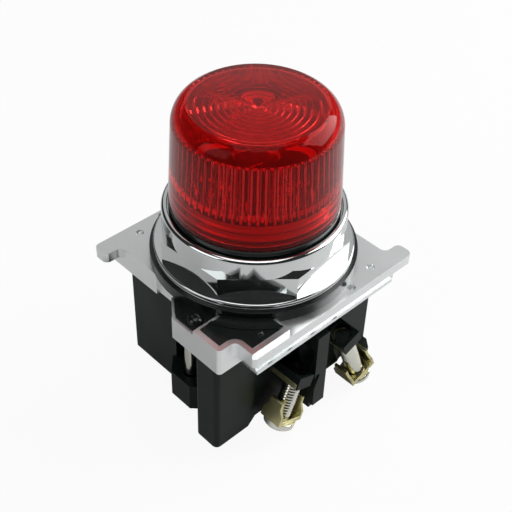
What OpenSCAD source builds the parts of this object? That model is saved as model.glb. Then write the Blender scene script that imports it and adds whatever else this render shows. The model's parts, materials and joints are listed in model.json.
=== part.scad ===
// Heavy-duty panel pilot light: screw-on lens, octagonal ring nut, die-cast
// base with mounting ears, and a moulded power block with two clamp terminals.
// +Z runs out through the lens. z = 0 is the face that the ring nut's washer
// presses on. X and Y run along the sides of the base.

/* [Panel fit] */
// Diameter of the threaded neck that passes through the panel
neck_d = 30; // [29:0.1:30.2]
// Height of the neck above the nut's seat
neck_h = 17.2; // [16.4:0.1:18]
// Bore of the neck
neck_bore_d = 25.2; // [24:0.1:26]
// Thickness of the rubber panel seal
seal_t = 2.5; // [2:0.1:3.5]
// Diameter of the seal's round body
seal_d = 44; // [43.2:0.1:45]

/* [Ring nut] */
// Diameter of the nut's bottom flange
flange_d = 42.4; // [41.4:0.1:43]
// Thickness of the loose washer under the flange
washer_t = 0.6; // [0.4:0.1:1]
// Thickness of the flange
flange_t = 0.9; // [0.6:0.1:1.4]
// Height of the eight flats' top edge above the seat
flats_top = 6.5; // [6:0.1:7]
// Width across the flats
across_flats = 38; // [37.6:0.1:38.6]
// Diameter of the round collar above the flats
collar_d = 38.5; // [38:0.1:39.4]
// Height of the whole nut above the seat
nut_h = 10.9; // [10.4:0.1:11.6]
// Depth of the collar's socket around the lens
collar_depth = 3.4; // [2.8:0.1:3.8]

/* [Lens] */
// Diameter of the lens at its foot
lens_d = 35.4; // [35:0.1:35.8]
// Diameter just below the shoulder
lens_shoulder_d = 33.6; // [33:0.1:34.4]
// Diameter of the flat top
lens_flat_d = 27.6; // [26:0.1:29]
// Height of the lens's top above the seat
lens_top = 34.6; // [33:0.1:37]
// Height of the lens's foot above the seat
lens_foot = 12.3; // [11.8:0.1:12.8]
// Height of the shoulder's rounding
shoulder_h = 4.6; // [3.5:0.1:5.5]
// Thickness of the lens wall
lens_wall = 1.7; // [1.3:0.1:2.2]
// Number of vertical flutes inside the lens
flutes = 64; // [40:2:72]
// Depth of a flute
flute_depth = 0.45; // [0.3:0.05:0.6]
// Pitch of the rings under the top
ring_pitch = 1.3; // [1.1:0.1:1.6]
// Depth of the rings under the top
ring_depth = 0.5; // [0.3:0.05:0.7]

/* [Die-cast base] */
// Length of the base along X, across the two ears
base_l = 52.2; // [51:0.1:54]
// Width of the base along Y
base_w = 47; // [46.4:0.1:48.5]
// Distance between the walls beside the tabs
waist_l = 40.8; // [40:0.1:41.6]
// Thickness of the base plate
plate_t = 2.4; // [2:0.1:2.8]
// Depth of the walls below the plate's top
wall_depth = 5.5; // [5:0.1:6.5]
// Thickness of the walls
base_wall = 1.3; // [1:0.1:1.6]
// Height of the raised corner ears above the plate
ear_rise = 1.2; // [0.8:0.1:1.5]
// Reach of the corner tabs past the waist
tab_reach = 4.2; // [3:0.1:5]
// Width of the corner tabs
tab_w = 4.1; // [3:0.1:5]

/* [Power block] */
// Length of the moulded block along X
block_l = 39.2; // [38.6:0.1:39.6]
// Width of the moulded block along Y
block_w = 34.6; // [33.6:0.1:35.4]
// Depth of the moulded block under the base
block_h = 23.6; // [22.6:0.1:26]
// Width of the block's corner legs along Y
leg_w = 6.6; // [5.6:0.1:7.4]
// Thickness of the barrier between the terminals
barrier_t = 3.4; // [2.4:0.1:4]
// Thickness of the back cover
cover_t = 2; // [1.6:0.1:2.6]

/* [Fixing screws] */
// Diameter of the long fixing screws
fix_d = 2.8; // [2.5:0.1:3.2]
// Distance of a fixing screw from the lamp axis along X
fix_x = 19.9; // [19.7:0.1:20.1]
// Distance of a fixing screw from the lamp axis along Y
fix_y = 2.2; // [1.6:0.1:3]
// Diameter of the fixing screws' heads
fix_head_d = 4.4; // [4:0.1:4.6]

/* [Terminals] */
// Lean of each terminal screw from the lamp axis, degrees
lean = 22; // [19:1:24]
// Diameter of the terminal screws
clamp_screw_d = 4; // [3.6:0.1:4.2]
// Diameter of the terminal screws' heads
clamp_head_d = 7; // [6.4:0.1:7.4]
// Gap between the first terminal's plate and clamp, as delivered
clamp_gap_1 = 8.6; // [8.2:0.1:9.2]
// Gap between the second terminal's plate and clamp, as delivered
clamp_gap_2 = 13.4; // [12.6:0.1:14]
// Width of the clamp
clamp_w = 7.4; // [7:0.1:8]
// Depth of the clamp away from the block
clamp_d = 5.6; // [5:0.1:5.8]
// Height of the clamp's wings above its plate
clamp_wing = 4.5; // [3.5:0.1:5]

/* [Lamp] */
// Diameter of the lamp's metal cap
cap_d = 9.2; // [9:0.1:9.4]
// Diameter of the lamp's glass
bulb_d = 10.2; // [9.8:0.1:11]
// Height of the glass's tip above the seat
bulb_top = 26; // [24:0.1:27]

/* [Transformer] */
// Length of the laminated core
core_l = 24; // [22:0.5:25]
// Width of the laminated core
core_w = 20; // [18:0.5:21]
// Height of the lamination stack
core_h = 7; // [6:0.5:7.5]

/* [Hidden] */
$fn = 96;
eps = 0.01;               // overlap that makes cuts clean
run_fit = 0.05;           // radial clearance of a turning fit
free_fit = 0.3;           // clearance between round faces that only pass

neck_r = neck_d / 2;
plate_top = -seal_t;
plate_low = plate_top - plate_t;
base_low = plate_top - wall_depth;
block_low = base_low - block_h;
ear_top = plate_top + ear_rise;

// The nut
flat_turn = 3.5;          // how far the front flat is turned from the diagonal
nut_floor = nut_h - collar_depth;
nut_bore_r = neck_r + run_fit;
socket_r = lens_d / 2 + free_fit;
octagon_r = across_flats / 2 / cos(22.5);

// The lens and the lamp
seal_lift = 1.3;          // room under the lens seal for the nut to back off
thread_top = neck_h + 0.3;
lens_hollow_r = lens_d / 2 - lens_wall - flute_depth;
shell_t = 0.5;
shell_r = cap_d / 2 + 0.15;
shell_foot = -1;
shell_top = 10.5;
socket_top = 3;
cap_low = 1.8;
cap_top = 11.2;
tip_z = 1;                // where the lamp's contact meets the plunger
pin_z = 5.5;
pin_r = 0.8;
press = 1.5;              // how far the lamp is pushed to unlock
unlock = 30;              // how far it then turns, degrees
plunger_r = 1.7;
plunger_t = 1.2;
stem_r = 0.8;
spring_foot = -6;
spring_room_r = 2;

// The base's outline
half_l = base_l / 2;
half_w = base_w / 2;
waist = waist_l / 2;
notch_x = 21.9;           // the corner notch starts here
notch_y = 18.1;
notch_fillet = 1.2;
ear_start = 11.8;         // where the raised ear begins along X
ear_end_y = 10.5;         // where the raised ear ends along Y
ear_set_back = 0.7;       // step between plate edge and ear along the long side
liner_rim = 1.2;          // metal rim around the ear's rubber liner
liner_t = 0.4;
liner_step_d = 48.9;
corner_r = 0.9;
side_recess = [1.8, 7.4]; // shallow recess in each short side
dimple_at = [14.5, -20.5];
vent_at = [6.9, -22];
pin_mark_r = 0.9;
slot_x = [-17, -11.5, -5, 1.5];   // small slots in the long walls
slot_size = 1.2;
rim_h = 0.8;              // rim along the foot of the long walls
rim_out = 0.6;

// The block
half_block_l = block_l / 2;
half_block_w = block_w / 2;
boss_x = 23;              // outer face of a screw boss
boss_w = 6;               // width of that face
boss_slope = boss_x - half_block_l;
boss_top = block_low + 7.1;
fix_bore_r = fix_head_d / 2 + 0.15;
fix_seat = block_low + 3.3;
fix_head_t = 2;
fix_washer_t = 0.7;
fix_tip = plate_low - 0.4;
barrier_x = -3.7;         // face towards the first terminal
barrier_top = base_low - 1.4;
bay_left = -13.8;         // inner side of the front leg
bay_depth = 1.2;          // how far the first bay cuts into the block
rebate_x = half_block_l - 3;
rebate_y = half_block_w - 2;
pocket_in = 2.5;          // depth of the open pockets over the screw bosses
pocket_w = 11.5;
foot_step = [2.2, 2.6];   // step in the barrier's foot, along Y and Z

// The terminals, each a frame on its plate's lower face
terminal_x = [-6.9, 8.3];
clamp_gap = [clamp_gap_1, clamp_gap_2];
terminal_y = -(half_block_w + clamp_d / 2 + 0.4);
terminal_z = [block_low + 9.8, block_low + 11.7];
barrier_y = -terminal_y + clamp_d / 2 + 0.2;
strip_t = 1.2;
strip_w = 5.2;
strip_in = 3;             // how far a terminal plate goes into the block
clamp_t = 1;
wing_t = 0.7;
wing_top_d = clamp_d - 2;  // depth of a wing at its top
clamp_head_t = 2.8;
clamp_travel = [6.4, 8];  // how far each screw can be driven
ledge_t = 1.8;            // moulding over a terminal plate
ledge_lip = 0.4;
ledge_short = [0.7, 0];   // how much narrower than its plate, clear of the barrier
slot_w = 0.9;
slot_depth = 0.9;
screw_tail = 1;           // screw length past the terminal plate

// The transformer
limb = 4;                 // width of the core's outer limbs and windows
bobbin_t = 0.8;
core_mid = (block_low + base_low) / 2 - 1.2;
core_low = core_mid - core_h / 2;
core_top = core_mid + core_h / 2;
window_x = limb;
window_y = core_w / 2 - limb;
leg_x = core_l / 2 - limb - window_x;
cavity_fit = 0.3;
coil_rise = window_x - 0.3;   // how far the bobbin's flanges stand off the middle leg
coil_x = leg_x + coil_rise;

// ---- shapes used more than once ----

// A ring of given radii between two heights
module ring(r_in, r_out, low, high) {
    translate([0, 0, low]) difference() {
        cylinder(r = r_out, h = high - low);
        translate([0, 0, -1]) cylinder(r = r_in, h = high - low + 2);
    }
}

// A rectangle from corner to corner with round corners
module round_rect(low, high, r) {
    translate([low[0] + r, low[1]]) square([high[0] - low[0] - 2 * r, high[1] - low[1]]);
    translate([low[0], low[1] + r]) square([high[0] - low[0], high[1] - low[1] - 2 * r]);
    for (x = [low[0] + r, high[0] - r], y = [low[1] + r, high[1] - r])
        translate([x, y]) circle(r = r);
}

// A flat shape made solid between two heights
module slab(low, high) {
    translate([0, 0, low]) linear_extrude(height = high - low) children();
}

// The same shape twice, the second half a turn round the lamp axis
module both_ends() {
    children();
    rotate(180) children();
}

// The hollow in a concave corner, filled to a radius
module inner_fillet(r) {
    difference() {
        square(r);
        translate([r, r]) circle(r = r);
    }
}

// One terminal's frame: its plate's lower face at 0, its screw along -Z
module terminal(i) {
    translate([terminal_x[i], terminal_y, terminal_z[i]])
        rotate([0, i == 0 ? lean : -lean, 0])
            children();
}

// ---- lens ----

shoulder_z = lens_top - shoulder_h;
shoulder_run = (lens_shoulder_d - lens_flat_d) / 2;
shoulder_r = (shoulder_run * shoulder_run + shoulder_h * shoulder_h) / 2 / shoulder_run;
shoulder_mid = lens_shoulder_d / 2 - shoulder_r;
skin = lens_wall + flute_depth;
hollow_top_r = lens_shoulder_d / 2 - skin;
ceiling = lens_top - lens_wall - ring_depth;
wall_tilt = atan((lens_d - lens_shoulder_d) / 2 / (shoulder_z - lens_foot));
flute_r = 0.6;

// Half section of the lens without its hollow
module lens_section() {
    polygon([
        [0, lens_foot],
        [lens_d / 2, lens_foot],
        [lens_shoulder_d / 2, shoulder_z],
        [0, shoulder_z]
    ]);
    translate([0, shoulder_z]) square([shoulder_mid, shoulder_h]);
    intersection() {
        translate([shoulder_mid, shoulder_z]) circle(r = shoulder_r);
        translate([shoulder_mid - eps, shoulder_z - eps]) square([shoulder_r + 1, shoulder_h + eps]);
    }
}

// Half section of the hollow, with the rings under the top
module hollow_section() {
    polygon([
        [0, thread_top],
        [lens_hollow_r, thread_top],
        [hollow_top_r, shoulder_z],
        [0, shoulder_z]
    ]);
    translate([0, shoulder_z - eps]) square([shoulder_mid, ceiling - shoulder_z + eps]);
    intersection() {
        translate([shoulder_mid, shoulder_z]) circle(r = shoulder_r - skin);
        translate([shoulder_mid - eps, shoulder_z - eps]) square([shoulder_r, ceiling - shoulder_z + eps]);
    }
    for (r = [ring_pitch : ring_pitch : shoulder_mid])
        polygon([[r, ceiling - eps], [r, ceiling + ring_depth], [r + ring_pitch * 0.8, ceiling - eps]]);
}

// Screw-on lens with vertical flutes inside and rings under its top
module lens() {
    color([0.7, 0.05, 0.08, 0.7]) difference() {
        rotate_extrude() lens_section();
        rotate_extrude() hollow_section();
        translate([0, 0, lens_foot - 1])
            cylinder(r = neck_r + run_fit, h = thread_top - lens_foot + 1 + eps);
        for (i = [0 : flutes - 1])
            rotate([0, 0, (i + 0.5) * 360 / flutes])
                translate([lens_hollow_r + flute_depth - flute_r, 0, thread_top + 1])
                    rotate([0, -wall_tilt, 0])
                        cylinder(r = flute_r, h = shoulder_z - thread_top - 1);
    }
}

// Rubber ring under the lens, with room below it for the nut to back off
module lens_seal() {
    color([0.06, 0.06, 0.06])
        ring(neck_r + free_fit, lens_d / 2, nut_floor + seal_lift, lens_foot);
}

// ---- ring nut ----

// Octagonal nut with a bottom flange and a socket for the lens's foot
module ring_nut() {
    color([0.8, 0.8, 0.82]) difference() {
        union() {
            translate([0, 0, washer_t]) cylinder(d = flange_d, h = flange_t);
            translate([0, 0, washer_t + flange_t / 2])
                rotate([0, 0, 22.5 + flat_turn])
                    cylinder(r = octagon_r, h = flats_top - washer_t - flange_t / 2, $fn = 8);
            translate([0, 0, flats_top - eps]) cylinder(d = collar_d, h = nut_h - flats_top + eps);
        }
        cylinder(r = nut_bore_r, h = nut_h);
        translate([0, 0, nut_floor]) cylinder(r = socket_r, h = collar_depth + 1);
    }
}

// Loose washer under the nut
module nut_washer() {
    color([0.75, 0.75, 0.77]) ring(neck_r + free_fit, flange_d / 2, 0, washer_t);
}

// ---- base ----

// One ear's block in plan
module ear_outline() {
    intersection() {
        translate([-half_l, -notch_y]) round_ear();
        polygon([
            [-half_l, -notch_y],
            [-half_l, -4.1],
            [-half_l + 0.8, -3.3],
            [-notch_x - 0.6, 0.3],
            [0, 0.3],
            [0, -notch_y]
        ]);
    }
}

// The ear's bounding rectangle with a round outer corner
module round_ear() {
    translate([corner_r, 0]) square([half_l - corner_r, notch_y + 1]);
    translate([0, corner_r]) square([half_l, notch_y + 1 - corner_r]);
    translate([corner_r, corner_r]) circle(r = corner_r);
}

// The corner of the plate beyond the notch
module corner_outline() {
    round_rect([-notch_x, -half_w], [0, -notch_y + corner_r * 2], corner_r);
    translate([-notch_x, -notch_y]) rotate(180) inner_fillet(notch_fillet);
}

// One of the two plain tabs
module tab_outline() {
    translate([0, -half_w]) round_rect([waist - 3, 0], [waist + tab_reach, tab_w], tab_w * 0.32);
    translate([waist, -half_w + tab_w]) inner_fillet(1.5);
}

// The whole plate
module plate_outline() {
    difference() {
        union() {
            translate([-waist, -half_w]) square([waist_l, base_w]);
            both_ends() {
                ear_outline();
                corner_outline();
                tab_outline();
            }
        }
        both_ends() translate([-waist - 1, 0.3]) square(side_recess);
    }
}

// The area of one raised ear
module ear_area(rim) {
    difference() {
        intersection() {
            plate_outline();
            translate([-half_l + rim, -half_w + ear_set_back + rim])
                square([half_l - ear_start - rim * 1.5, half_w - ear_set_back - ear_end_y - rim * 1.5]);
        }
        circle(r = seal_d / 2 + free_fit);
        if (rim > 0) notch_area(rim);
    }
}

// The notch grown by the rim's width
module notch_area(rim) {
    r = notch_fillet + rim;
    translate([-notch_x - notch_fillet, -notch_y - notch_fillet]) circle(r = r);
    translate([-half_l, -half_w]) square([half_l - notch_x + rim, half_w - notch_y - notch_fillet]);
    translate([-half_l, -half_w]) square([half_l - notch_x - notch_fillet, half_w - notch_y + rim]);
}

// The walls under the plate
wall_y = half_w - 1.2;
module wall_outline() {
    intersection() {
        plate_outline();
        translate([-half_l, -wall_y]) square([base_l, wall_y * 2]);
        union() {
            translate([-waist, -half_w]) square([waist_l, base_w]);
            both_ends() ear_outline();
        }
    }
}

// The hollows between the walls
module tray_hollow() {
    difference() {
        union() {
            round_rect([-waist + base_wall + 0.8, -wall_y + base_wall],
                       [waist - base_wall - 0.8, wall_y - base_wall], 1);
            both_ends()
                round_rect([-half_l + base_wall, -notch_y + base_wall],
                           [-waist + base_wall + 3, -4.1 - base_wall], 1);
        }
        circle(r = neck_r);
        both_ends() translate([-fix_x, -fix_y]) circle(r = fix_d / 2 + 1.4);
    }
}

// The small slots along one long wall
module wall_slots() {
    for (x = slot_x)
        translate([x, -half_w]) square([slot_size, half_w - wall_y + base_wall + 0.5]);
}

// The rim along the foot of one long wall
module foot_rim() {
    translate([-notch_x + 1.5, -wall_y - rim_out]) square([notch_x + waist - 2.5, rim_out + base_wall / 2]);
}

// A fixing screw's hole in plan
module fixing_hole(fit) {
    translate([-fix_x, -fix_y]) circle(r = fix_d / 2 + fit);
}

// Die-cast base: threaded neck, plate with ears and tabs, and a walled underside
module die_cast_base() {
    color([0.72, 0.74, 0.74]) difference() {
        union() {
            translate([0, 0, plate_low]) cylinder(r = neck_r, h = neck_h - plate_low);
            slab(plate_low, plate_top) plate_outline();
            slab(base_low, plate_low + eps) difference() {
                wall_outline();
                tray_hollow();
            }
            slab(base_low, base_low + rim_h) both_ends() foot_rim();
            slab(plate_top - eps, ear_top) both_ends() ear_area(0);
        }
        translate([0, 0, base_low - 1]) cylinder(d = neck_bore_d, h = neck_h - base_low + 2);
        slab(ear_top - liner_t, ear_top + 1) both_ends() ear_area(liner_rim);
        slab(base_low - 1, plate_low) both_ends() fixing_hole(run_fit);
        slab(plate_top - 0.5, plate_top + 1) both_ends() translate(dimple_at) circle(r = pin_mark_r);
        slab(plate_top - 1.6, plate_top + 1) both_ends() translate(vent_at) circle(r = pin_mark_r);
        slab(plate_low - 0.7 - slot_size, plate_low - 0.7) both_ends() wall_slots();
    }
}

// Rubber seal on the base, with a thin liner on each raised ear
module panel_seal() {
    liner_low = ear_top - liner_t;
    color([0.07, 0.07, 0.07]) union() {
        ring(neck_r + free_fit, seal_d / 2, plate_top, 0);
        slab(liner_low, ear_top + 0.1) both_ends() difference() {
            union() {
                ear_area(liner_rim);
                liner_bridge();
            }
            circle(r = seal_d / 2 - 1);
        }
        slab(liner_low, ear_top + 0.35) both_ends() intersection() {
            ear_area(liner_rim);
            difference() {
                circle(d = liner_step_d + 1.6);
                circle(d = liner_step_d);
            }
        }
    }
}

// The strip of liner that joins it to the seal's ring
module liner_bridge() {
    intersection() {
        circle(r = seal_d / 2 + free_fit + eps);
        translate([-half_l + liner_rim, -half_w + ear_set_back + liner_rim])
            square([half_l - ear_start - liner_rim * 1.5,
                    half_w - ear_set_back - ear_end_y - liner_rim * 1.5]);
    }
}

// ---- lamp and its socket ----

// Glass bulb, open at the bottom where the cap closes it
module lamp_bulb() {
    r = bulb_d / 2;
    color([0.9, 0.9, 0.92, 0.4]) translate([0, 0, cap_top]) difference() {
        union() {
            cylinder(r1 = cap_d / 2 - 0.5, r2 = r, h = 1.6);
            translate([0, 0, 1.6]) cylinder(r = r, h = bulb_top - cap_top - r - 1.6);
            translate([0, 0, bulb_top - cap_top - r]) sphere(r = r);
        }
        translate([0, 0, -1]) cylinder(r = cap_d / 2 - 1.2, h = 3);
        translate([0, 0, 1.6]) cylinder(r = r - 0.6, h = bulb_top - cap_top - r - 1.6);
        translate([0, 0, bulb_top - cap_top - r]) sphere(r = r - 0.6);
    }
}

// The lamp's bayonet cap: shell, solder tip, two pins and the filament's stem
module lamp_cap() {
    color([0.78, 0.7, 0.5]) union() {
        translate([0, 0, cap_low]) cylinder(d = cap_d, h = cap_top - cap_low);
        translate([0, 0, tip_z]) cylinder(r = 1.5, h = cap_low - tip_z + eps);
        for (a = [0, 180])
            rotate([0, 0, a]) translate([cap_d / 2 - 0.6, 0, pin_z]) rotate([0, 90, 0])
                cylinder(r = pin_r, h = 1.6);
        translate([0, 0, cap_top - eps]) cylinder(r = 1.2, h = 3);
        for (x = [-0.9, 0.9])
            translate([x * 0.8, 0, cap_top + 1]) rotate([0, x * 12, 0]) cylinder(r = 0.2, h = 6.5);
        translate([-2, 0, cap_top + 7.1]) rotate([0, 90, 0]) cylinder(r = 0.25, h = 4);
    }
}

// Moulded insulator that stands on the block inside the neck
module socket_body() {
    color([0.1, 0.1, 0.11]) translate([0, 0, base_low]) difference() {
        cylinder(r = neck_bore_d / 2 - free_fit, h = socket_top - base_low);
        translate([0, 0, shell_foot - base_low])
            cylinder(r = shell_r + shell_t + run_fit, h = socket_top - shell_foot + 1);
        translate([0, 0, spring_foot - base_low]) cylinder(r = spring_room_r, h = 10);
    }
}

// Metal shell with two bayonet slots
module socket_shell() {
    steps = 6;
    color([0.8, 0.74, 0.5]) difference() {
        ring(shell_r, shell_r + shell_t, shell_foot, shell_top);
        for (side = [0, 180]) {
            for (k = [0 : steps])
                rotate([0, 0, side + unlock * k / steps])
                    translate([shell_r - 1, 0, pin_z - press * k / steps])
                        rotate([0, 90, 0]) cylinder(r = pin_r + 0.15, h = 3);
            rotate([0, 0, side + unlock])
                translate([shell_r - 1, -pin_r - 0.15, pin_z - press])
                    cube([3, pin_r * 2 + 0.3, shell_top]);
        }
    }
}

// Sprung centre contact
module contact_plunger() {
    low = tip_z - plunger_t;
    color([0.8, 0.74, 0.5]) union() {
        translate([0, 0, low]) cylinder(r = plunger_r, h = plunger_t);
        translate([0, 0, spring_foot + press + 0.1])
            cylinder(r = stem_r, h = low - spring_foot - press - 0.1 + eps);
    }
}

// Its spring, drawn as close rings joined by two bars
module contact_spring() {
    wire = 0.25;
    turns = 7;
    mid = 1.35;
    room = tip_z - plunger_t - spring_foot;
    color([0.7, 0.7, 0.72]) union() {
        for (k = [0 : turns - 1])
            translate([0, 0, spring_foot + wire + k * (room - wire * 2) / (turns - 1)])
                rotate_extrude() translate([mid, 0]) circle(r = wire);
        for (a = [0, 180])
            rotate([0, 0, a]) translate([mid, 0, spring_foot + wire])
                cylinder(r = 0.15, h = room - wire * 2);
    }
}

// ---- power block ----

// One corner leg in plan
module leg_outline() {
    round_rect([-half_l, -half_block_w], [bay_left, -half_block_w + leg_w], 1.2);
}

// A screw boss in plan, sloped back to the block
module boss_outline() {
    mid = -fix_y;
    polygon([
        [-boss_x, mid - boss_w / 2],
        [-boss_x, mid + boss_w / 2],
        [-half_block_l, mid + boss_w / 2 + boss_slope],
        [-half_block_l + 1, mid],
        [-half_block_l, mid - boss_w / 2 - boss_slope]
    ]);
}

// The first terminal's bay, cut back between the leg and the barrier
module bay_outline() {
    polygon([
        [bay_left - 3.2, -half_block_w],
        [bay_left, -half_block_w + bay_depth],
        [barrier_x, -half_block_w + bay_depth],
        [barrier_x, -half_block_w - 1],
        [bay_left - 3.2, -half_block_w - 1]
    ]);
}

// A terminal plate, drawn a little deeper when it cuts its own slot
module strip(i) {
    terminal(i) translate([-strip_w / 2, -strip_w / 2, 0])
        cube([strip_w, -half_block_w + strip_in - terminal_y + strip_w / 2, strip_t]);
}

// Moulding that covers the top and the front edge of a terminal plate
module ledge(i) {
    terminal(i) translate([-strip_w / 2, -strip_w / 2 - ledge_lip, 0])
        cube([
            strip_w - ledge_short[i],
            -half_block_w + 2 - terminal_y + strip_w / 2 + ledge_lip,
            strip_t + ledge_t
        ]);
}

// Moulded block: corner legs, screw bosses, the barrier and the terminal bays
module power_block() {
    color([0.11, 0.13, 0.12]) difference() {
        union() {
            difference() {
                union() {
                    translate([-half_block_l, -half_block_w, block_low]) cube([block_l, block_w, block_h]);
                    slab(block_low, base_low) both_ends() leg_outline();
                }
                slab(block_low - 1, barrier_top) bay_outline();
            }
            slab(block_low, boss_top) both_ends() boss_outline();
            translate([barrier_x, -barrier_y, block_low])
                cube([barrier_t, barrier_y - half_block_w + 1, barrier_top - block_low]);
            translate([0, 0, block_low]) nub();
            for (i = [0, 1])
                ledge(i);
        }
        // open pockets over the screw bosses
        slab(boss_top, base_low + 1) both_ends()
            translate([-half_l, -fix_y - pocket_w / 2 - 0.55])
                square([half_l - half_block_l + pocket_in, pocket_w]);
        // step in the barrier's foot
        translate([barrier_x - 1, -barrier_y - 1, block_low - 1])
            cube([barrier_t + 2, foot_step[0], foot_step[1]]);
        // screw bosses' bores and head seats
        slab(block_low - 1, boss_top + 1) both_ends() fixing_hole(free_fit);
        slab(block_low - 1, fix_seat) both_ends() translate([-fix_x, -fix_y]) circle(r = fix_bore_r);
        // slots that hold the terminal plates, and room for the screws, a head and the clamp's wing
        for (i = [0, 1]) {
            strip(i);
            terminal(i) translate([0, 0, strip_t - eps])
                cylinder(r = clamp_screw_d / 2 + free_fit, h = screw_tail + clamp_travel[i] + 0.4);
        }
        terminal(1) translate([0, 0, -clamp_gap[1] - clamp_t - clamp_head_t - 0.2])
            cylinder(r = clamp_head_d / 2 + 0.2, h = clamp_head_t + clamp_travel[1] + 0.6);
        terminal(0) translate([clamp_w / 2 - wing_t - 0.1, -clamp_d / 2 - free_fit, -clamp_gap[0]])
            cube([wing_t + 0.4, clamp_d + free_fit * 2, clamp_travel[0] + clamp_wing + free_fit]);
        // room for the back cover, the core and the coil
        translate([-rebate_x, -rebate_y, block_low - 1]) cube([rebate_x * 2, rebate_y * 2, cover_t + 1]);
        translate([-core_l / 2 - cavity_fit, -core_w / 2 - cavity_fit, block_low - 1])
            cube([core_l + cavity_fit * 2, core_w + cavity_fit * 2, core_top - block_low + 1]);
        translate([-coil_x - cavity_fit, -window_y - cavity_fit, core_top - 1])
            cube([coil_x * 2 + cavity_fit * 2, window_y * 2 + cavity_fit * 2, coil_rise + cavity_fit + 1]);
        for (x = [-1, 1], y = [-1, 1])
            translate([x * rivet_x, y * rivet_y, block_low])
                cylinder(r = rivet_r + run_fit, h = cover_t + rivet_grip + 0.5);
    }
}

// Small stop beside the second terminal
module nub() {
    reach = 3;
    linear_extrude(height = 2.2) polygon([
        [half_block_l - 2.5, -half_block_w + 1],
        [half_block_l - 2.5, -half_block_w - reach],
        [half_block_l - 1.6, -half_block_w - reach],
        [half_block_l, -half_block_w - 1],
        [half_block_l, -half_block_w + 1]
    ]);
}

rivet_x = rebate_x - 1.8;
rivet_y = rebate_y - 1.8;
rivet_r = 0.9;
rivet_head = 0.5;
rivet_grip = 2.5;         // rivet length past the cover

// Flat cover in the back of the block, with two ribs that hold the core
module back_cover() {
    color([0.13, 0.14, 0.14]) difference() {
        union() {
            translate([-rebate_x + 0.1, -rebate_y + 0.1, block_low])
                cube([rebate_x * 2 - 0.2, rebate_y * 2 - 0.2, cover_t]);
            for (x = [-1, 1])
                translate([x * (core_l / 2 - limb / 2) - 0.8, -core_w / 2 + 1, block_low + cover_t - eps])
                    cube([1.6, core_w - 2, core_low - block_low - cover_t + eps]);
        }
        for (x = [-1, 1], y = [-1, 1])
            translate([x * rivet_x, y * rivet_y, block_low - 1])
                cylinder(r = rivet_r + run_fit, h = cover_t + 2);
    }
}

// Rivets that close the back
module cover_rivets() {
    color([0.75, 0.76, 0.76])
        for (x = [-1, 1], y = [-1, 1])
            translate([x * rivet_x, y * rivet_y, block_low]) {
                translate([0, 0, -rivet_head]) cylinder(r = rivet_r * 2, h = rivet_head);
                translate([0, 0, -eps]) cylinder(r = rivet_r, h = cover_t + rivet_grip);
            }
}

// ---- transformer ----

// Laminated core with two windows
module transformer_core() {
    color([0.45, 0.45, 0.47]) difference() {
        translate([-core_l / 2, -core_w / 2, core_low]) cube([core_l, core_w, core_h]);
        for (x = [-1, 1])
            translate([x * (core_l / 2 - limb) - (x > 0 ? window_x : 0), -window_y, core_low - 1])
                cube([window_x, window_y * 2, core_h + 2]);
    }
}

// A box sleeve round the core's middle leg
module sleeve(inner, outer, y) {
    difference() {
        translate([-leg_x - outer, -y, core_low - outer])
            cube([leg_x * 2 + outer * 2, y * 2, core_h + outer * 2]);
        translate([-leg_x - inner, -y - 1, core_low - inner])
            cube([leg_x * 2 + inner * 2, y * 2 + 2, core_h + inner * 2]);
    }
}

// Bobbin: a box tube with a flange at each end
module coil_bobbin() {
    color([0.85, 0.83, 0.75]) difference() {
        union() {
            sleeve(0, bobbin_t, window_y - 0.1);
            for (y = [-1, 1])
                translate([0, y * (window_y - 0.1 - bobbin_t / 2), 0])
                    sleeve(bobbin_t - eps, coil_rise, bobbin_t / 2);
        }
    }
}

// The copper winding between the flanges
module coil_winding() {
    color([0.7, 0.35, 0.15]) sleeve(bobbin_t, coil_rise - 0.3, window_y - 0.1 - bobbin_t);
}

// ---- terminals ----

// Threaded plate that stands out of the block
module terminal_plate(i) {
    color([0.76, 0.64, 0.35]) difference() {
        strip(i);
        terminal(i) translate([0, 0, -1]) cylinder(r = clamp_screw_d / 2 + run_fit, h = strip_t + 2);
    }
}

module terminal_plate_1() {
    terminal_plate(0);
}

module terminal_plate_2() {
    terminal_plate(1);
}

// Saddle clamp with a wing on each side
module wire_clamp(i) {
    color([0.76, 0.64, 0.35]) terminal(i) translate([0, 0, -clamp_gap[i] - clamp_t]) difference() {
        union() {
            translate([-clamp_w / 2, -clamp_d / 2, 0]) cube([clamp_w, clamp_d, clamp_t]);
            for (x = [-clamp_w / 2, clamp_w / 2 - wing_t])
                translate([x, 0, 0]) wing();
        }
        translate([0, 0, -1]) cylinder(r = clamp_screw_d / 2 + free_fit, h = clamp_t + 2);
    }
}

// One wing, narrower at its top
module wing() {
    shoulder = clamp_t + clamp_wing * 0.3;
    rotate([90, 0, 90]) linear_extrude(height = wing_t) polygon([
        [-clamp_d / 2, 0],
        [clamp_d / 2, 0],
        [clamp_d / 2, shoulder],
        [wing_top_d / 2, shoulder + 1.5],
        [wing_top_d / 2, clamp_t + clamp_wing],
        [-wing_top_d / 2, clamp_t + clamp_wing],
        [-wing_top_d / 2, shoulder + 1.5],
        [-clamp_d / 2, shoulder]
    ]);
}

module wire_clamp_1() {
    wire_clamp(0);
}

module wire_clamp_2() {
    wire_clamp(1);
}

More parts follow.
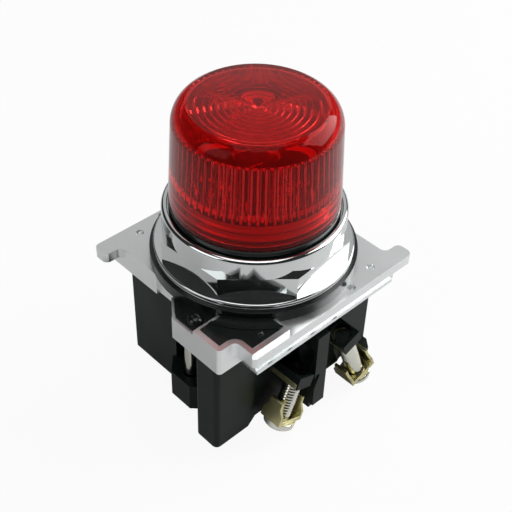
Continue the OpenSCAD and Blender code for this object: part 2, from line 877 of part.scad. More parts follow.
// Slotted pan-head screw
module terminal_screw(i) {
    under_head = -clamp_gap[i] - clamp_t;
    dome = clamp_head_d * 0.68;
    color([0.82, 0.83, 0.84]) terminal(i) difference() {
        union() {
            translate([0, 0, under_head - eps])
                cylinder(d = clamp_screw_d, h = strip_t + screw_tail - under_head + eps);
            intersection() {
                translate([0, 0, under_head - clamp_head_t]) cylinder(d = clamp_head_d, h = clamp_head_t);
                translate([0, 0, under_head - clamp_head_t + dome]) sphere(r = dome);
            }
        }
        translate([-slot_w / 2, -clamp_head_d, under_head - clamp_head_t - 1])
            cube([slot_w, clamp_head_d * 2, slot_depth + 1]);
    }
}

module terminal_screw_1() {
    terminal_screw(0);
}

module terminal_screw_2() {
    terminal_screw(1);
}

// ---- fixing screws ----

// Long screw from the back of the block into the base
module fixing_screw(side) {
    head_top = fix_seat - fix_washer_t;
    color([0.82, 0.83, 0.84]) rotate([0, 0, side]) translate([-fix_x, -fix_y, 0]) difference() {
        union() {
            translate([0, 0, head_top - fix_head_t]) cylinder(d = fix_head_d, h = fix_head_t);
            translate([0, 0, head_top - eps]) cylinder(d = fix_d, h = fix_tip - head_top + eps);
        }
        translate([-slot_w / 2, -fix_head_d, head_top - fix_head_t - 1])
            cube([slot_w, fix_head_d * 2, slot_depth + 1]);
    }
}

module fixing_screw_1() {
    fixing_screw(0);
}

module fixing_screw_2() {
    fixing_screw(180);
}

// Split spring washer under a fixing screw's head
module lock_washer(side) {
    color([0.75, 0.76, 0.77]) rotate([0, 0, side]) translate([-fix_x, -fix_y, 0]) difference() {
        ring(fix_d / 2 + free_fit, fix_head_d / 2 - 0.05, fix_seat - fix_washer_t, fix_seat);
        translate([0, 0, fix_seat - 1]) rotate([30, 0, 0])
            translate([0, -0.2, -2]) cube([fix_head_d, 0.4, 4]);
    }
}

module lock_washer_1() {
    lock_washer(0);
}

module lock_washer_2() {
    lock_washer(180);
}

lens();
lens_seal();
ring_nut();
nut_washer();
panel_seal();
die_cast_base();
lamp_bulb();
lamp_cap();
socket_body();
socket_shell();
contact_plunger();
contact_spring();
power_block();
back_cover();
transformer_core();
coil_bobbin();
coil_winding();
terminal_plate_1();
terminal_plate_2();
wire_clamp_1();
wire_clamp_2();
terminal_screw_1();
terminal_screw_2();
fixing_screw_1();
fixing_screw_2();
lock_washer_1();
lock_washer_2();
cover_rivets();
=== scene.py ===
"""Panel pilot light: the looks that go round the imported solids."""
import json
import math

import bpy
from mathutils import Matrix, Vector


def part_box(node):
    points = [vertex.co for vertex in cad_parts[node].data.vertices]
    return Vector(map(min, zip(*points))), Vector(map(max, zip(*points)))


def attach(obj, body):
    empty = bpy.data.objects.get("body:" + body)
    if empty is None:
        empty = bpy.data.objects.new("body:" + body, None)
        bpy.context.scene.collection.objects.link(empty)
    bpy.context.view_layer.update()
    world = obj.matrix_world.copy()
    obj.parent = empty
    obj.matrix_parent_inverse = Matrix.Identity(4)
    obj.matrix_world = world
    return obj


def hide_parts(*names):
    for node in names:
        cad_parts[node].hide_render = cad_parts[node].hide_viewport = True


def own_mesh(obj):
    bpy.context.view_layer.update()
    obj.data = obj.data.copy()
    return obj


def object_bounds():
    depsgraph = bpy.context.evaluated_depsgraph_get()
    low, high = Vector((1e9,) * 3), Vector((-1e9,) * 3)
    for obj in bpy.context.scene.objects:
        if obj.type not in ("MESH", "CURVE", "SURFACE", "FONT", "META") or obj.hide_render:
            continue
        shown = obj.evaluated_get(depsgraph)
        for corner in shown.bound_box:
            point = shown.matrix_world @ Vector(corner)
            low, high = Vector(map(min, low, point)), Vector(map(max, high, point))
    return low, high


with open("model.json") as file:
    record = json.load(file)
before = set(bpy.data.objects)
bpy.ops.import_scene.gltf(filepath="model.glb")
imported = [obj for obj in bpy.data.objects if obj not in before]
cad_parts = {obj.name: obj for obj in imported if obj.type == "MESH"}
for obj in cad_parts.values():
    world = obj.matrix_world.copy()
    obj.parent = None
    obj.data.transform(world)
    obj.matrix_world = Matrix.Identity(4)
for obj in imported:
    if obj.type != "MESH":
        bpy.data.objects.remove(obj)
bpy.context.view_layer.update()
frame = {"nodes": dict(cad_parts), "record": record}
scene = bpy.context.scene
record = frame["record"]
MM = 0.001
TURN = 2 * math.pi

# ---------------------------------------------------------------- camera

CAMERA_AT = (-0.11264, -0.11429, 0.13787)
CAMERA_RIGHT = Vector((0.72510, -0.68817, 0.02544))
CAMERA_UP = Vector((0.44281, 0.49424, 0.74807))
CAMERA_LENS = 70.3


def set_camera():
    """A camera that looks down on the corner between the front and the left side."""
    data = bpy.data.cameras.new("studio_camera")
    data.lens = CAMERA_LENS
    data.sensor_width = 36
    data.clip_start, data.clip_end = 0.005, 20
    camera = bpy.data.objects.new("studio_camera", data)
    scene.collection.objects.link(camera)
    right = CAMERA_RIGHT.normalized()
    back = right.cross(CAMERA_UP).normalized()
    up = back.cross(right)
    turned = Matrix((right, up, back)).transposed().to_4x4()
    camera.matrix_world = Matrix.Translation(CAMERA_AT) @ turned
    scene.camera = camera


# ---------------------------------------------------------------- shader parts


class Finish:
    """One material with a Principled shader, built a node at a time."""

    def __init__(self, name, **constants):
        self.material = bpy.data.materials.new(name)
        self.material.use_nodes = True
        self.tree = self.material.node_tree
        self.shader = self.tree.nodes["Principled BSDF"]
        for socket, value in constants.items():
            self.shader.inputs[socket.replace("_", " ")].default_value = value
        self.place = self.tree.nodes.new("ShaderNodeTexCoord").outputs["Object"]

    def node(self, kind, **settings):
        made = self.tree.nodes.new(kind)
        for key, value in settings.items():
            setattr(made, key, value)
        return made

    def feed(self, value, socket):
        """Links an output, or sets a plain number or colour."""
        if isinstance(value, bpy.types.NodeSocket):
            self.tree.links.new(value, socket)
        else:
            socket.default_value = value

    def group(self, group, **values):
        """Places a node group and returns its outputs."""
        made = self.node("ShaderNodeGroup")
        made.node_tree = group
        self.feed(self.place, made.inputs["Place"])
        for key, value in values.items():
            self.feed(value, made.inputs[key.replace("_", " ")])
        return made.outputs

    def between(self, mask, low, high, start=0.0, stop=1.0):
        """A number that follows a mask from low to high."""
        made = self.node("ShaderNodeMapRange")
        ends = {"From Min": start, "From Max": stop, "To Min": low, "To Max": high}
        for label, value in ends.items():
            made.inputs[label].default_value = value
        self.feed(mask, made.inputs["Value"])
        return made.outputs["Result"]

    def colours(self, mask, first, second):
        """A colour that follows a mask from the first to the second."""
        made = self.node("ShaderNodeMix", data_type="RGBA")
        self.feed(mask, made.inputs[0])
        self.feed(first, made.inputs[6])
        self.feed(second, made.inputs[7])
        return made.outputs[2]

    def bump(self, height, strength, distance):
        made = self.node("ShaderNodeBump")
        made.inputs["Strength"].default_value = strength
        made.inputs["Distance"].default_value = distance
        self.feed(height, made.inputs["Height"])
        self.put(made.outputs["Normal"], "Normal")

    def put(self, value, socket):
        self.feed(value, self.shader.inputs[socket])


def new_group(name, inputs, outputs):
    group = bpy.data.node_groups.new(name, "ShaderNodeTree")
    group.interface.new_socket(name="Place", in_out="INPUT", socket_type="NodeSocketVector")
    for label, value in inputs.items():
        socket = group.interface.new_socket(name=label, in_out="INPUT",
                                            socket_type="NodeSocketFloat")
        socket.default_value = value
    for label in outputs:
        group.interface.new_socket(name=label, in_out="OUTPUT", socket_type="NodeSocketFloat")
    return group, group.nodes.new("NodeGroupInput"), group.nodes.new("NodeGroupOutput")


def group_noise(group, enter, scale, detail):
    noise = group.nodes.new("ShaderNodeTexNoise")
    noise.inputs["Detail"].default_value = detail
    group.links.new(enter.outputs["Place"], noise.inputs["Vector"])
    group.links.new(enter.outputs[scale], noise.inputs["Scale"])
    return noise.outputs["Fac"]


def group_range(group, value, start, stop):
    made = group.nodes.new("ShaderNodeMapRange")
    made.inputs["From Min"].default_value = start
    made.inputs["From Max"].default_value = stop
    group.links.new(value, made.inputs["Value"])
    return made.outputs["Result"]


def moulded_grain():
    """Fine grain of a moulded or cast skin, and a slow unevenness."""
    group, enter, leave = new_group("moulded_grain", {"Scale": 900.0, "Slow Scale": 60.0},
                                    ["Grain", "Unevenness"])
    group.links.new(group_noise(group, enter, "Scale", 4), leave.inputs["Grain"])
    slow = group_range(group, group_noise(group, enter, "Slow Scale", 3), 0.3, 0.7)
    group.links.new(slow, leave.inputs["Unevenness"])
    return group


def worn_and_highlit_edges():
    """A mask that is 1 on sharp edges and 0 on faces, broken up by noise: part edge wear, part painted
    edge highlight.
    """
    group, enter, leave = new_group("worn_and_highlit_edges", {"Width": 0.0003, "Break Up": 500.0}, ["Edge"])
    round_edge = group.nodes.new("ShaderNodeBevel")
    round_edge.samples = 4
    group.links.new(enter.outputs["Width"], round_edge.inputs["Radius"])
    face = group.nodes.new("ShaderNodeNewGeometry")
    dot = group.nodes.new("ShaderNodeVectorMath")
    dot.operation = "DOT_PRODUCT"
    group.links.new(round_edge.outputs["Normal"], dot.inputs[0])
    group.links.new(face.outputs["Normal"], dot.inputs[1])
    both = group.nodes.new("ShaderNodeMath")
    both.operation = "MULTIPLY"
    patches = group_range(group, group_noise(group, enter, "Break Up", 3), 0.3, 0.7)
    group.links.new(group_range(group, dot.outputs["Value"], 0.995, 0.86), both.inputs[0])
    group.links.new(patches, both.inputs[1])
    group.links.new(both.outputs["Value"], leave.inputs["Edge"])
    return group


GRAIN = moulded_grain()
EDGES = worn_and_highlit_edges()

# ---------------------------------------------------------------- finishes


def skin(name, colour, metallic, low, high, grain=900.0, slow=60.0, bump=0.1, depth=0.02 * MM,
         dark=0.85, edge=None, edge_width=0.25 * MM, **constants):
    """A finish with uneven roughness, fine grain and lighter or darker edges, the edge colour part wear
    and part painted highlight.
    """
    finish = Finish(name, Metallic=metallic, **constants)
    grains = finish.group(GRAIN, Scale=grain, Slow_Scale=slow)
    finish.put(finish.between(grains["Unevenness"], low, high), "Roughness")
    body = finish.colours(grains["Unevenness"], [c * dark for c in colour] + [1],
                          list(colour) + [1])
    # The edge colour is part edge wear and part painted highlight on the edges.
    if edge:
        mask = finish.group(EDGES, Width=edge_width, Break_Up=grain * 0.5)["Edge"]
        body = finish.colours(mask, body, list(edge) + [1])
    finish.put(body, "Base Color")
    if bump:
        finish.bump(grains["Grain"], bump, depth)
    return finish.material


def clear_plastic(name, colour, ior, low, high, clear, **constants):
    """Clear plastic or glass with slight unevenness."""
    finish = Finish(name, Transmission_Weight=clear, IOR=ior, Metallic=0.0, **constants)
    grains = finish.group(GRAIN, Scale=700.0, Slow_Scale=90.0)
    finish.put(finish.between(grains["Unevenness"], low, high), "Roughness")
    body = finish.colours(grains["Unevenness"], [c * 0.94 for c in colour] + [1],
                          list(colour) + [1])
    finish.put(body, "Base Color")
    return finish.material


# The lighter edge colours of the zinc, the block and the brass are part wear and part painted edge
# highlight.
FINISHES = {
    "red_lens": clear_plastic("red_lens", (0.74, 0.024, 0.023), 1.52, 0.012, 0.035, 0.88,
                              Specular_Tint=(0.26, 0.09, 0.09, 1)),
    "black_rubber": skin("black_rubber", (0.007, 0.011, 0.010), 0, 0.16, 0.36, bump=0.25,
                         Specular_IOR_Level=0.45),
    "bright_chrome": skin("bright_chrome", (0.72, 0.75, 0.745), 1, 0.07, 0.13, bump=0.02,
                          dark=0.95),
    "washer_steel": skin("washer_steel", (0.72, 0.73, 0.74), 1, 0.1, 0.2, bump=0.05),
    "die_cast_zinc": skin("die_cast_zinc", (0.86, 0.885, 0.885), 1, 0.28, 0.40, grain=1600.0,
                          bump=0.15, depth=0.01 * MM, dark=0.94, edge=(0.92, 0.94, 0.94)),
    "bulb_glass": clear_plastic("bulb_glass", (0.95, 0.96, 0.96), 1.45, 0.01, 0.03, 1.0),
    "cap_brass": skin("cap_brass", (0.72, 0.62, 0.38), 1, 0.2, 0.35),
    "socket_plastic": skin("socket_plastic", (0.05, 0.05, 0.055), 0, 0.35, 0.5),
    "shell_brass": skin("shell_brass", (0.74, 0.66, 0.42), 1, 0.2, 0.35),
    "spring_steel": skin("spring_steel", (0.5, 0.5, 0.52), 1, 0.25, 0.4),
    "block_plastic": skin("block_plastic", (0.006, 0.012, 0.010), 0, 0.32, 0.46, bump=0.3,
                          edge=(0.025, 0.036, 0.033), Specular_IOR_Level=0.16),
    "cover_plastic": skin("cover_plastic", (0.03, 0.031, 0.031), 0, 0.5, 0.7, bump=0.3),
    "core_steel": skin("core_steel", (0.2, 0.2, 0.21), 1, 0.4, 0.6),
    "bobbin_plastic": skin("bobbin_plastic", (0.7, 0.68, 0.6), 0, 0.4, 0.5),
    "winding_copper": skin("winding_copper", (0.6, 0.22, 0.08), 1, 0.25, 0.4),
    "terminal_brass": skin("terminal_brass", (0.74, 0.68, 0.36), 1, 0.22, 0.38, bump=0.2, dark=0.76,
                           edge=(0.92, 0.88, 0.60)),
    "screw_nickel": skin("screw_nickel", (0.80, 0.80, 0.72), 1, 0.14, 0.28, bump=0.1),
}
SLOT_OF = {entry["node"]: entry["material_slot"] for entry in record["subparts"]}
BODY_OF = {node: body for body, nodes in record["behaviour"]["bodies"].items() for node in nodes}
for node, thing in frame["nodes"].items():
    thing.data.materials.clear()
    thing.data.materials.append(FINISHES[SLOT_OF[node]])

# ---------------------------------------------------------------- modelling steps


def alone(piece):
    """Selects one piece and nothing else."""
    if bpy.context.object and bpy.context.object.mode != "OBJECT":
        bpy.ops.object.mode_set(mode="OBJECT")
    bpy.ops.object.select_all(action="DESELECT")
    bpy.context.view_layer.objects.active = piece
    piece.select_set(True)


def edit(piece, *steps):
    """Runs edit-mode steps on all of a piece."""
    alone(piece)
    bpy.ops.object.mode_set(mode="EDIT")
    bpy.ops.mesh.select_mode(type="VERT")
    bpy.ops.mesh.select_all(action="SELECT")
    for step in steps:
        step()
    bpy.ops.object.mode_set(mode="OBJECT")


def choose(piece, test):
    """Selects the vertices whose place passes a test, in edit mode."""
    alone(piece)
    bpy.ops.object.mode_set(mode="EDIT")
    bpy.ops.mesh.select_mode(type="VERT")
    bpy.ops.mesh.select_all(action="DESELECT")
    bpy.ops.object.mode_set(mode="OBJECT")
    for vertex in piece.data.vertices:
        vertex.select = test(vertex.co)
    bpy.ops.object.mode_set(mode="EDIT")


def merge():
    bpy.ops.mesh.remove_doubles(threshold=1e-6)


def face_out():
    bpy.ops.mesh.normals_make_consistent(inside=False)


def modify(piece, kind, **settings):
    """Adds a modifier and applies it."""
    alone(piece)
    made = piece.modifiers.new(kind.lower(), kind)
    for key, value in settings.items():
        setattr(made, key, value)
    bpy.ops.object.modifier_apply(modifier=made.name)


def soften(piece, width, segments=2, angle=35):
    modify(piece, "BEVEL", width=width, segments=segments, limit_method="ANGLE",
           angle_limit=math.radians(angle))


def pick_edges(piece, test):
    """Selects the edges whose two ends pass a test, in edit mode."""
    alone(piece)
    bpy.ops.object.mode_set(mode="EDIT")
    bpy.ops.mesh.select_mode(type="EDGE")
    bpy.ops.mesh.select_all(action="DESELECT")
    bpy.ops.object.mode_set(mode="OBJECT")
    points = piece.data.vertices
    for edge in piece.data.edges:
        edge.select = test(*[points[k].co for k in edge.vertices])
    bpy.ops.object.mode_set(mode="EDIT")


def round_edges(piece, test, width, segments):
    pick_edges(piece, test)
    bpy.ops.mesh.bevel(offset=width, segments=segments, affect="EDGES")
    bpy.ops.object.mode_set(mode="OBJECT")


def on_circle(radius, height):
    """A test for edges that lie on a level circle round the Z axis."""
    def on_it(end):
        near = abs(math.hypot(end.x, end.y) - radius) < 0.03 * MM
        return near and abs(end.z - height) < 0.02 * MM

    return lambda *ends: all(on_it(end) for end in ends)


def finish(piece, node, smooth=32, flat_faces=True):
    """Gives a piece its finish and its body, and hides the solid that it stands for."""
    alone(piece)
    bpy.ops.object.shade_smooth_by_angle(angle=math.radians(smooth))
    if flat_faces:
        modify(piece, "WEIGHTED_NORMAL", keep_sharp=True)
    piece.data.materials.clear()
    piece.data.materials.append(FINISHES[SLOT_OF[node]])
    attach(piece, BODY_OF[node])
    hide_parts(node)


def copy_of(node, name):
    """A merged copy of a solid's mesh, its flat faces made whole."""
    piece = bpy.data.objects.new(name, frame["nodes"][node].data.copy())
    scene.collection.objects.link(piece)
    alone(piece)
    bpy.ops.mesh.customdata_custom_splitnormals_clear()
    edit(piece, merge, lambda: bpy.ops.mesh.dissolve_limited(angle_limit=math.radians(0.3)))
    return piece


def dressed(node, width, segments=2, angle=35, smooth=32):
    """A solid's copy with softened edges."""
    piece = copy_of(node, node + "_dressed")
    if width:
        soften(piece, width, segments, angle)
    finish(piece, node, smooth)
    return piece


def drawn(name, points):
    """A line through points, drawn a vertex at a time."""
    bpy.ops.object.select_all(action="DESELECT")
    bpy.ops.mesh.primitive_plane_add(size=MM, location=(0, 0, 0))
    piece = bpy.context.object
    piece.name = name
    bpy.ops.object.mode_set(mode="EDIT")
    bpy.ops.mesh.select_mode(type="VERT")
    bpy.ops.mesh.select_all(action="SELECT")
    bpy.ops.mesh.merge(type="CENTER")
    last = Vector((0, 0, 0))
    for k, point in enumerate(points):
        place = Vector(point)
        if k == 0:
            bpy.ops.transform.translate(value=place)
        else:
            bpy.ops.mesh.extrude_region_move(TRANSFORM_OT_translate={"value": place - last})
        last = place
    bpy.ops.object.mode_set(mode="OBJECT")
    return piece


def spun(name, points, steps):
    """A solid of revolution from a line that starts and ends on the axis, or closes on itself."""
    piece = drawn(name, [(r, 0, z) for r, z in points])
    edit(piece,
         lambda: bpy.ops.mesh.spin(steps=steps, angle=TURN, center=(0, 0, 0), axis=(0, 0, 1)),
         lambda: bpy.ops.mesh.select_all(action="SELECT"),
         merge, face_out)
    return piece


def prism(name, outline, low, high):
    """An outline in plan, filled and drawn up."""
    piece = drawn(name, [(x, y, low) for x, y in outline])
    edit(piece,
         lambda: bpy.ops.mesh.edge_face_add(),
         lambda: bpy.ops.mesh.extrude_region_move(TRANSFORM_OT_translate={"value": (0, 0, high - low)}),
         lambda: bpy.ops.mesh.select_all(action="SELECT"),
         face_out)
    return piece


def arc(centre, radius, start, stop, steps):
    """Points on an arc, angles in degrees from the outward direction."""
    angles = [math.radians(start + (stop - start) * k / steps) for k in range(steps + 1)]
    return [(centre[0] + radius * math.cos(a), centre[1] + radius * math.sin(a)) for a in angles]


# ---------------------------------------------------------------- lens

FLUTES = 64
COLUMNS = 6                 # mesh columns in one flute
FLUTE_LOW = 18.5 * MM
FLUTE_HIGH = 30.2 * MM
FLUTE_DEPTH = 0.65 * MM
LENS_WALL = 2.1 * MM
LENS_TOP = 1.7 * MM         # thickness over the rings
SHOULDER_H = 4.6 * MM
SHOULDER_R = 16.8 * MM
FLAT_R = 13.8 * MM
FOOT_BORE_R = 15.05 * MM
THREAD_TOP = 17.5 * MM
THREAD_PITCH = 2.0 * MM
THREAD_DEPTH = 0.55 * MM
RING_PITCH = 1.3 * MM
RING_DEPTH = 0.7 * MM


def lens_profile():
    """Half section of the lens: outer skin from the axis down, then the inside back up to the axis."""
    low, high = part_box("lens")
    foot, top, foot_r = low.z, high.z, high.x
    shoulder_z = top - SHOULDER_H
    run, rise = SHOULDER_R - FLAT_R, top - shoulder_z
    round_r = (run * run + rise * rise) / 2 / run
    mid = (SHOULDER_R - round_r, shoulder_z)
    sweep = math.degrees(math.asin(rise / round_r))
    bore, root = FOOT_BORE_R, FOOT_BORE_R + THREAD_DEPTH
    outer = [(0, top), (FLAT_R - 0.06 * MM, top)]
    outer += arc(mid, round_r, sweep * 0.99, 0, 12)
    outer += [(SHOULDER_R + (foot_r - SHOULDER_R) * k / 6, shoulder_z + (foot - shoulder_z) * k / 6)
              for k in range(1, 6)]
    outer += [(foot_r, foot + 0.25 * MM), (foot_r - 0.25 * MM, foot)]
    inner = [(bore + 0.2 * MM, foot), (bore, foot + 0.2 * MM)]
    for k in range(2):
        z = foot + 0.8 * MM + THREAD_PITCH * k
        inner += [(bore, z), (root, z + 0.45 * MM), (root, z + 0.65 * MM), (bore, z + 1.1 * MM)]
    wall_low = foot_r - LENS_WALL
    wall_high = SHOULDER_R - LENS_WALL
    inner += [(bore, THREAD_TOP - 0.3 * MM), (wall_low, THREAD_TOP)]
    for row in (0.25, 0.6, 1.2, 3, 5, 7, 9, 10.6, 11.2, 11.5):
        share = row * MM / (shoulder_z - FLUTE_LOW)
        inner.append((wall_low + (wall_high - wall_low) * share, FLUTE_LOW + row * MM))
    inner += arc(mid, round_r - LENS_WALL, 5, sweep * 0.9, 8)
    ceiling = top - LENS_TOP - RING_DEPTH
    edge = inner[-1][0]
    inner.append((edge - 0.3 * MM, ceiling))
    count = int(edge / RING_PITCH)
    for k in range(count, 0, -1):
        r = k * RING_PITCH
        inner += [(r, ceiling), (r - 0.08 * MM, ceiling + RING_DEPTH)]
        inner += [(r - RING_PITCH * 0.85, ceiling)] if k > 1 else [(0.35 * MM, ceiling)]
    return outer + inner + [(0, ceiling)]


def lens():
    piece = spun("lens_moulded", lens_profile(), FLUTES * COLUMNS)
    wall = SHOULDER_R - LENS_WALL + 1.0 * MM

    def in_flute(co, share):
        """True on the inner wall, in the columns at that share of a flute from its middle."""
        if not FLUTE_LOW < co.z < FLUTE_HIGH or math.hypot(co.x, co.y) > wall:
            return False
        column = round(math.atan2(co.y, co.x) / TURN * FLUTES * COLUMNS) % COLUMNS
        return min(column, COLUMNS - column) == share

    for share, depth in ((0, 1.0), (1, 0.78), (2, 0.28)):
        choose(piece, lambda co: in_flute(co, share))
        grown = 1 + FLUTE_DEPTH * depth / (wall - 0.5 * MM)
        bpy.ops.transform.resize(value=(grown, grown, 1), center_override=(0, 0, 0))
    finish(piece, "lens", 14, False)


# ---------------------------------------------------------------- screws and springs


def thread_rod(name, crest, root, pitch, low, high, steps=32):
    """A threaded rod on the Z axis, closed at both ends."""
    line = [(root, 0), (root, 0.15), (crest, 0.5), (crest, 0.65), (root, 1)]
    piece = drawn(name, [(r, 0, z * pitch + low) for r, z in line])
    turns = int((high - low) / pitch) - 1
    modify(piece, "SCREW", axis="Z", angle=TURN, screw_offset=pitch, iterations=turns,
           steps=steps, render_steps=steps, use_merge_vertices=True, merge_threshold=1e-6)
    edit(piece, merge, lambda: bpy.ops.mesh.fill_holes(sides=0), face_out)
    return piece


def slot_cutter(width, depth, reach, z):
    """A bar that cuts a driver slot upward from z."""
    bpy.ops.object.select_all(action="DESELECT")
    bpy.ops.mesh.primitive_cube_add(size=1, location=(0, 0, z + depth / 2 - 0.5 * MM))
    bar = bpy.context.object
    bar.scale = (width, reach, depth + MM)
    bpy.ops.object.transform_apply(location=True, rotation=False, scale=True)
    return bar


def cut(piece, cutter):
    modify(piece, "BOOLEAN", operation="DIFFERENCE", object=cutter, solver="EXACT")
    bpy.data.objects.remove(cutter)


def unite(piece, other):
    modify(piece, "BOOLEAN", operation="UNION", object=other, solver="EXACT")
    bpy.data.objects.remove(other)


def move(piece, offset):
    alone(piece)
    bpy.ops.transform.translate(value=offset)
    bpy.ops.object.transform_apply(location=True, rotation=False, scale=False)


def join(*pieces):
    alone(pieces[0])
    for piece in pieces[1:]:
        piece.select_set(True)
    bpy.ops.object.join()
    return pieces[0]


def screw(node, place, length, plain, shaft_r, pitch, head_r, head_h, dome):
    """A slotted screw whose shaft goes up from under its head at the origin of place."""
    if dome:
        centre = (0, -head_h + dome)
        edge = math.degrees(math.asin(min(0.98, head_r * 0.96 / dome)))
        head = [(0, 0), (head_r - 0.15 * MM, 0), (head_r, -0.15 * MM)]
        head += arc(centre, dome, -90 + edge, -90, 8)[:-1] + [(0, -head_h)]
    else:
        head = [(0, 0), (head_r - 0.15 * MM, 0), (head_r, -0.15 * MM),
                (head_r, -head_h + 0.3 * MM), (head_r - 0.3 * MM, -head_h), (0, -head_h)]
    piece = spun(node + "_turned", head, 48)
    cut(piece, slot_cutter(SLOT_WIDTH, SLOT_DEPTH, head_r * 4, -head_h))
    soften(piece, 0.08 * MM, 2, 40)
    threaded = thread_rod("threaded", shaft_r, shaft_r * 0.9, pitch, plain - 0.3 * MM, length)
    piece = join(piece, threaded)
    if plain:
        neck = shaft_r * 0.94
        shank = spun("shank", [(0, -0.3 * MM), (neck, -0.3 * MM), (neck, plain - 0.3 * MM),
                               (neck * 0.85, plain), (0, plain)], 40)
        piece = join(piece, shank)
    piece.matrix_world = place
    alone(piece)
    bpy.ops.object.transform_apply(location=True, rotation=True, scale=True)
    finish(piece, node, 40)


def joint(name):
    return next(j for j in record["behaviour"]["joints"] if j["name"] == name)


def screw_place(name, back):
    """The frame of a screw: Z along its axis, its origin under the head."""
    turn = joint(name)
    axis = Vector(turn["axis"]).normalized()
    at = Vector(turn["pos_m"]) - axis * back
    across = Vector((0, 1, 0))
    side = across.cross(axis).normalized()
    return Matrix.Translation(at) @ Matrix((side, across, axis)).transposed().to_4x4()


SLOT_WIDTH = 0.9 * MM
SLOT_DEPTH = 0.9 * MM
CLAMP_T = 1.0 * MM
TERMINAL_GAPS = (8.6 * MM, 13.4 * MM)       # from each clamp's seat to its terminal plate
TERMINAL_TAIL = 2.2 * MM
TERMINAL_SCREW = {"shaft_r": 2.0 * MM, "pitch": 0.7 * MM, "head_r": 3.5 * MM, "head_h": 2.8 * MM,
                  "dome": 4.76 * MM}
FIXING_SCREW = {"shaft_r": 1.4 * MM, "pitch": 0.5 * MM, "head_r": 2.2 * MM, "head_h": 2.0 * MM,
                "dome": 0}
FIXING_AT = (19.9 * MM, 2.2 * MM)
FIXING_THREAD = 5 * MM
SPRING_WIRE = 0.25 * MM
SPRING_TURNS = 7


def terminal_screws():
    for i, gap in enumerate(TERMINAL_GAPS):
        place = screw_place(f"clamp_{i + 1}_turn", gap + CLAMP_T)
        screw(f"terminal_screw_{i + 1}", place, gap + CLAMP_T + TERMINAL_TAIL, 0, **TERMINAL_SCREW)


def fixing_screws():
    for i, side in ((1, -1), (2, 1)):
        low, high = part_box(f"fixing_screw_{i}")
        seat = low.z + FIXING_SCREW["head_h"]
        place = Matrix.Translation((side * FIXING_AT[0], side * FIXING_AT[1], seat))
        length = high.z - low.z - FIXING_SCREW["head_h"]
        screw(f"fixing_screw_{i}", place, length, length - FIXING_THREAD, **FIXING_SCREW)


def contact_spring():
    """A wound spring that fills the contact spring's box."""
    low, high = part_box("contact_spring")
    bpy.ops.object.select_all(action="DESELECT")
    bpy.ops.mesh.primitive_circle_add(vertices=10, radius=SPRING_WIRE, rotation=(TURN / 4, 0, 0),
                                      location=(high.x - SPRING_WIRE, 0, low.z + SPRING_WIRE))
    piece = bpy.context.object
    piece.name = "contact_spring_wound"
    bpy.ops.object.transform_apply(location=True, rotation=True, scale=True)
    rise = high.z - low.z - SPRING_WIRE * 2
    modify(piece, "SCREW", axis="Z", angle=TURN, screw_offset=rise / SPRING_TURNS,
           iterations=SPRING_TURNS, steps=24, render_steps=24)
    edit(piece, merge, lambda: bpy.ops.mesh.fill_holes(sides=0), face_out)
    finish(piece, "contact_spring", 60)
    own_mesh(piece)


# ---------------------------------------------------------------- the other parts


COLLAR_R = 19.25 * MM
COLLAR_BORE_R = 18.0 * MM
FLANGE_T = 0.9 * MM


def ring_nut():
    """The nut with a full round on its collar and a soft rim on its flange."""
    piece = copy_of("ring_nut", "ring_nut_dressed")
    low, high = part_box("ring_nut")
    round_edges(piece, on_circle(COLLAR_R, high.z), 0.8 * MM, 5)
    round_edges(piece, on_circle(COLLAR_BORE_R, high.z), 0.2 * MM, 2)
    round_edges(piece, on_circle(high.x, low.z + FLANGE_T), 0.35 * MM, 4)
    round_edges(piece, on_circle(high.x, low.z), 0.2 * MM, 3)
    soften(piece, 0.12 * MM, 2, 35)
    finish(piece, "ring_nut", 24)


PLATE_TOP = -2.5 * MM
EAR_TOP = -1.3 * MM
PAD_T = 0.35 * MM
PAD_OUTLINE = [(-25.4, -10.2), (-25.4, -4.5), (-24.9, -3.6), (-22.4, -0.4), (-20.0, -3.0),
               (-18.0, -9.0), (-21.5, -10.2)]
NUB_AT = (-23.3 * MM, -8.0 * MM)
NUB_R = 1.75 * MM
NUB_H = 1.6 * MM
PIP_AT = (-17.0 * MM, -19.7 * MM)
PIP_R = 0.8 * MM
PIP_H = 0.6 * MM


def panel_seal():
    """The seal with the pads, the corner nubs and the small pips of its rubber."""
    piece = copy_of("panel_seal", "panel_seal_dressed")
    plate, ear = PLATE_TOP, EAR_TOP
    nub_line = [(0, plate), (NUB_R, plate)]
    nub_line += arc((NUB_R - 1.4 * MM, plate + 0.2 * MM), 1.4 * MM, 0, 90, 8) + [(0, plate + NUB_H)]
    pip_line = [(0, ear - 0.2 * MM), (PIP_R, ear - 0.2 * MM), (PIP_R, ear + 0.1 * MM)]
    pip_line += arc((0.25 * MM, ear + 0.15 * MM), 0.45 * MM, 0, 90, 5) + [(0, ear + PIP_H)]
    for side in (1, -1):
        pad = [(side * x * MM, side * y * MM) for x, y in PAD_OUTLINE]
        unite(piece, prism("pad", pad, plate, plate + PAD_T))
        nub = spun("nub", nub_line, 32)
        move(nub, (side * NUB_AT[0], side * NUB_AT[1], 0))
        unite(piece, nub)
        pip = spun("pip", pip_line, 24)
        move(pip, (side * PIP_AT[0], side * PIP_AT[1], 0))
        unite(piece, pip)
    soften(piece, 0.1 * MM, 2, 45)
    finish(piece, "panel_seal", 35)


def moulded_and_turned_parts():
    dressed("nut_washer", 0.08 * MM)
    dressed("lens_seal", 0.12 * MM)
    dressed("die_cast_base", 0.16 * MM, 2, 40)
    dressed("power_block", 0.28 * MM, 3, 40)
    dressed("back_cover", 0.15 * MM)
    dressed("cover_rivets", 0.2 * MM, 3)
    for i in (1, 2):
        dressed(f"wire_clamp_{i}", 0.16 * MM, 2, 40)
        dressed(f"terminal_plate_{i}", 0.1 * MM)
        dressed(f"lock_washer_{i}", 0.06 * MM)


# ---------------------------------------------------------------- studio


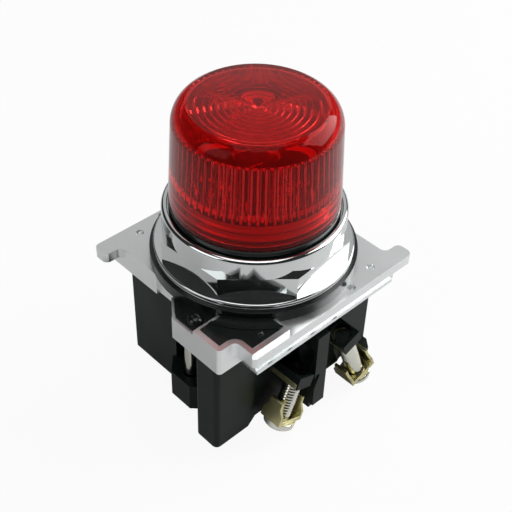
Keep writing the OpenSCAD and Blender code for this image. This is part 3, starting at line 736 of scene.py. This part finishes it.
def seen_by(tree, *rays):
    """1 for the named kinds of ray and 0 for the others."""
    path = tree.nodes.new("ShaderNodeLightPath")
    total = path.outputs[rays[0]]
    for ray in rays[1:]:
        more = tree.nodes.new("ShaderNodeMath")
        more.operation = "MAXIMUM"
        tree.links.new(total, more.inputs[0])
        tree.links.new(path.outputs[ray], more.inputs[1])
        total = more.outputs["Value"]
    return total


PAPER = 0.85
WHITE_SHARE = 0.93          # of the floor that the camera sees as plain white
WORLD_LEVEL = 0.03
LAMPS = (
    ("key_softbox", (0.50, -0.22, 0.36), (0.60, 0.50), 3.9),
    ("back_softbox", (0.40, 0.42, 0.50), (0.90, 0.60), 0.88),
    ("fill_softbox", (-0.55, 0.10, 0.30), (0.40, 0.40), 0.8),
    ("overhead_softbox", (-0.08, -0.08, 0.70), (0.50, 0.50), 1.4),
)


def white_floor():
    """Paper that keeps the shadow and looks white."""
    floor_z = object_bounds()[0].z - 0.5 * MM
    bpy.ops.object.select_all(action="DESELECT")
    bpy.ops.mesh.primitive_plane_add(size=6, location=(0, 0, floor_z))
    floor = bpy.context.object
    floor.name = "floor"
    paper = Finish("floor_paper", Roughness=0.6)
    paper.put((PAPER, PAPER, PAPER, 1), "Base Color")
    glow = paper.node("ShaderNodeEmission")
    glow.inputs["Strength"].default_value = 1.0
    mix = paper.node("ShaderNodeMixShader")
    share = paper.between(seen_by(paper.tree, "Is Camera Ray"), 0.0, WHITE_SHARE)
    paper.feed(share, mix.inputs["Fac"])
    paper.feed(paper.shader.outputs["BSDF"], mix.inputs[1])
    paper.feed(glow.outputs["Emission"], mix.inputs[2])
    paper.feed(mix.outputs["Shader"], paper.tree.nodes["Material Output"].inputs["Surface"])
    floor.data.materials.append(paper.material)


def soft_world():
    """A dim room that the camera and the clear parts see as white."""
    world = bpy.data.worlds.new("studio_world")
    world.use_nodes = True
    scene.world = world
    tree = world.node_tree
    background = tree.nodes["Background"]
    background.inputs["Color"].default_value = (1, 1, 1, 1)
    level = tree.nodes.new("ShaderNodeMapRange")
    level.inputs["To Min"].default_value = WORLD_LEVEL
    level.inputs["To Max"].default_value = 1.0
    tree.links.new(seen_by(tree, "Is Camera Ray", "Is Transmission Ray"), level.inputs["Value"])
    tree.links.new(level.outputs["Result"], background.inputs["Strength"])


def soft_lamp(name, at, size, power):
    """A square lamp that faces the object."""
    data = bpy.data.lights.new(name, "AREA")
    data.shape = "RECTANGLE"
    data.size, data.size_y = size
    data.energy = power
    made = bpy.data.objects.new(name, data)
    scene.collection.objects.link(made)
    made.location = at
    made.rotation_euler = (-Vector(at)).to_track_quat("-Z", "Y").to_euler()


lens()
ring_nut()
panel_seal()
terminal_screws()
fixing_screws()
contact_spring()
moulded_and_turned_parts()
set_camera()
white_floor()
soft_world()
for lamp in LAMPS:
    soft_lamp(*lamp)
scene.view_settings.view_transform = "Standard"
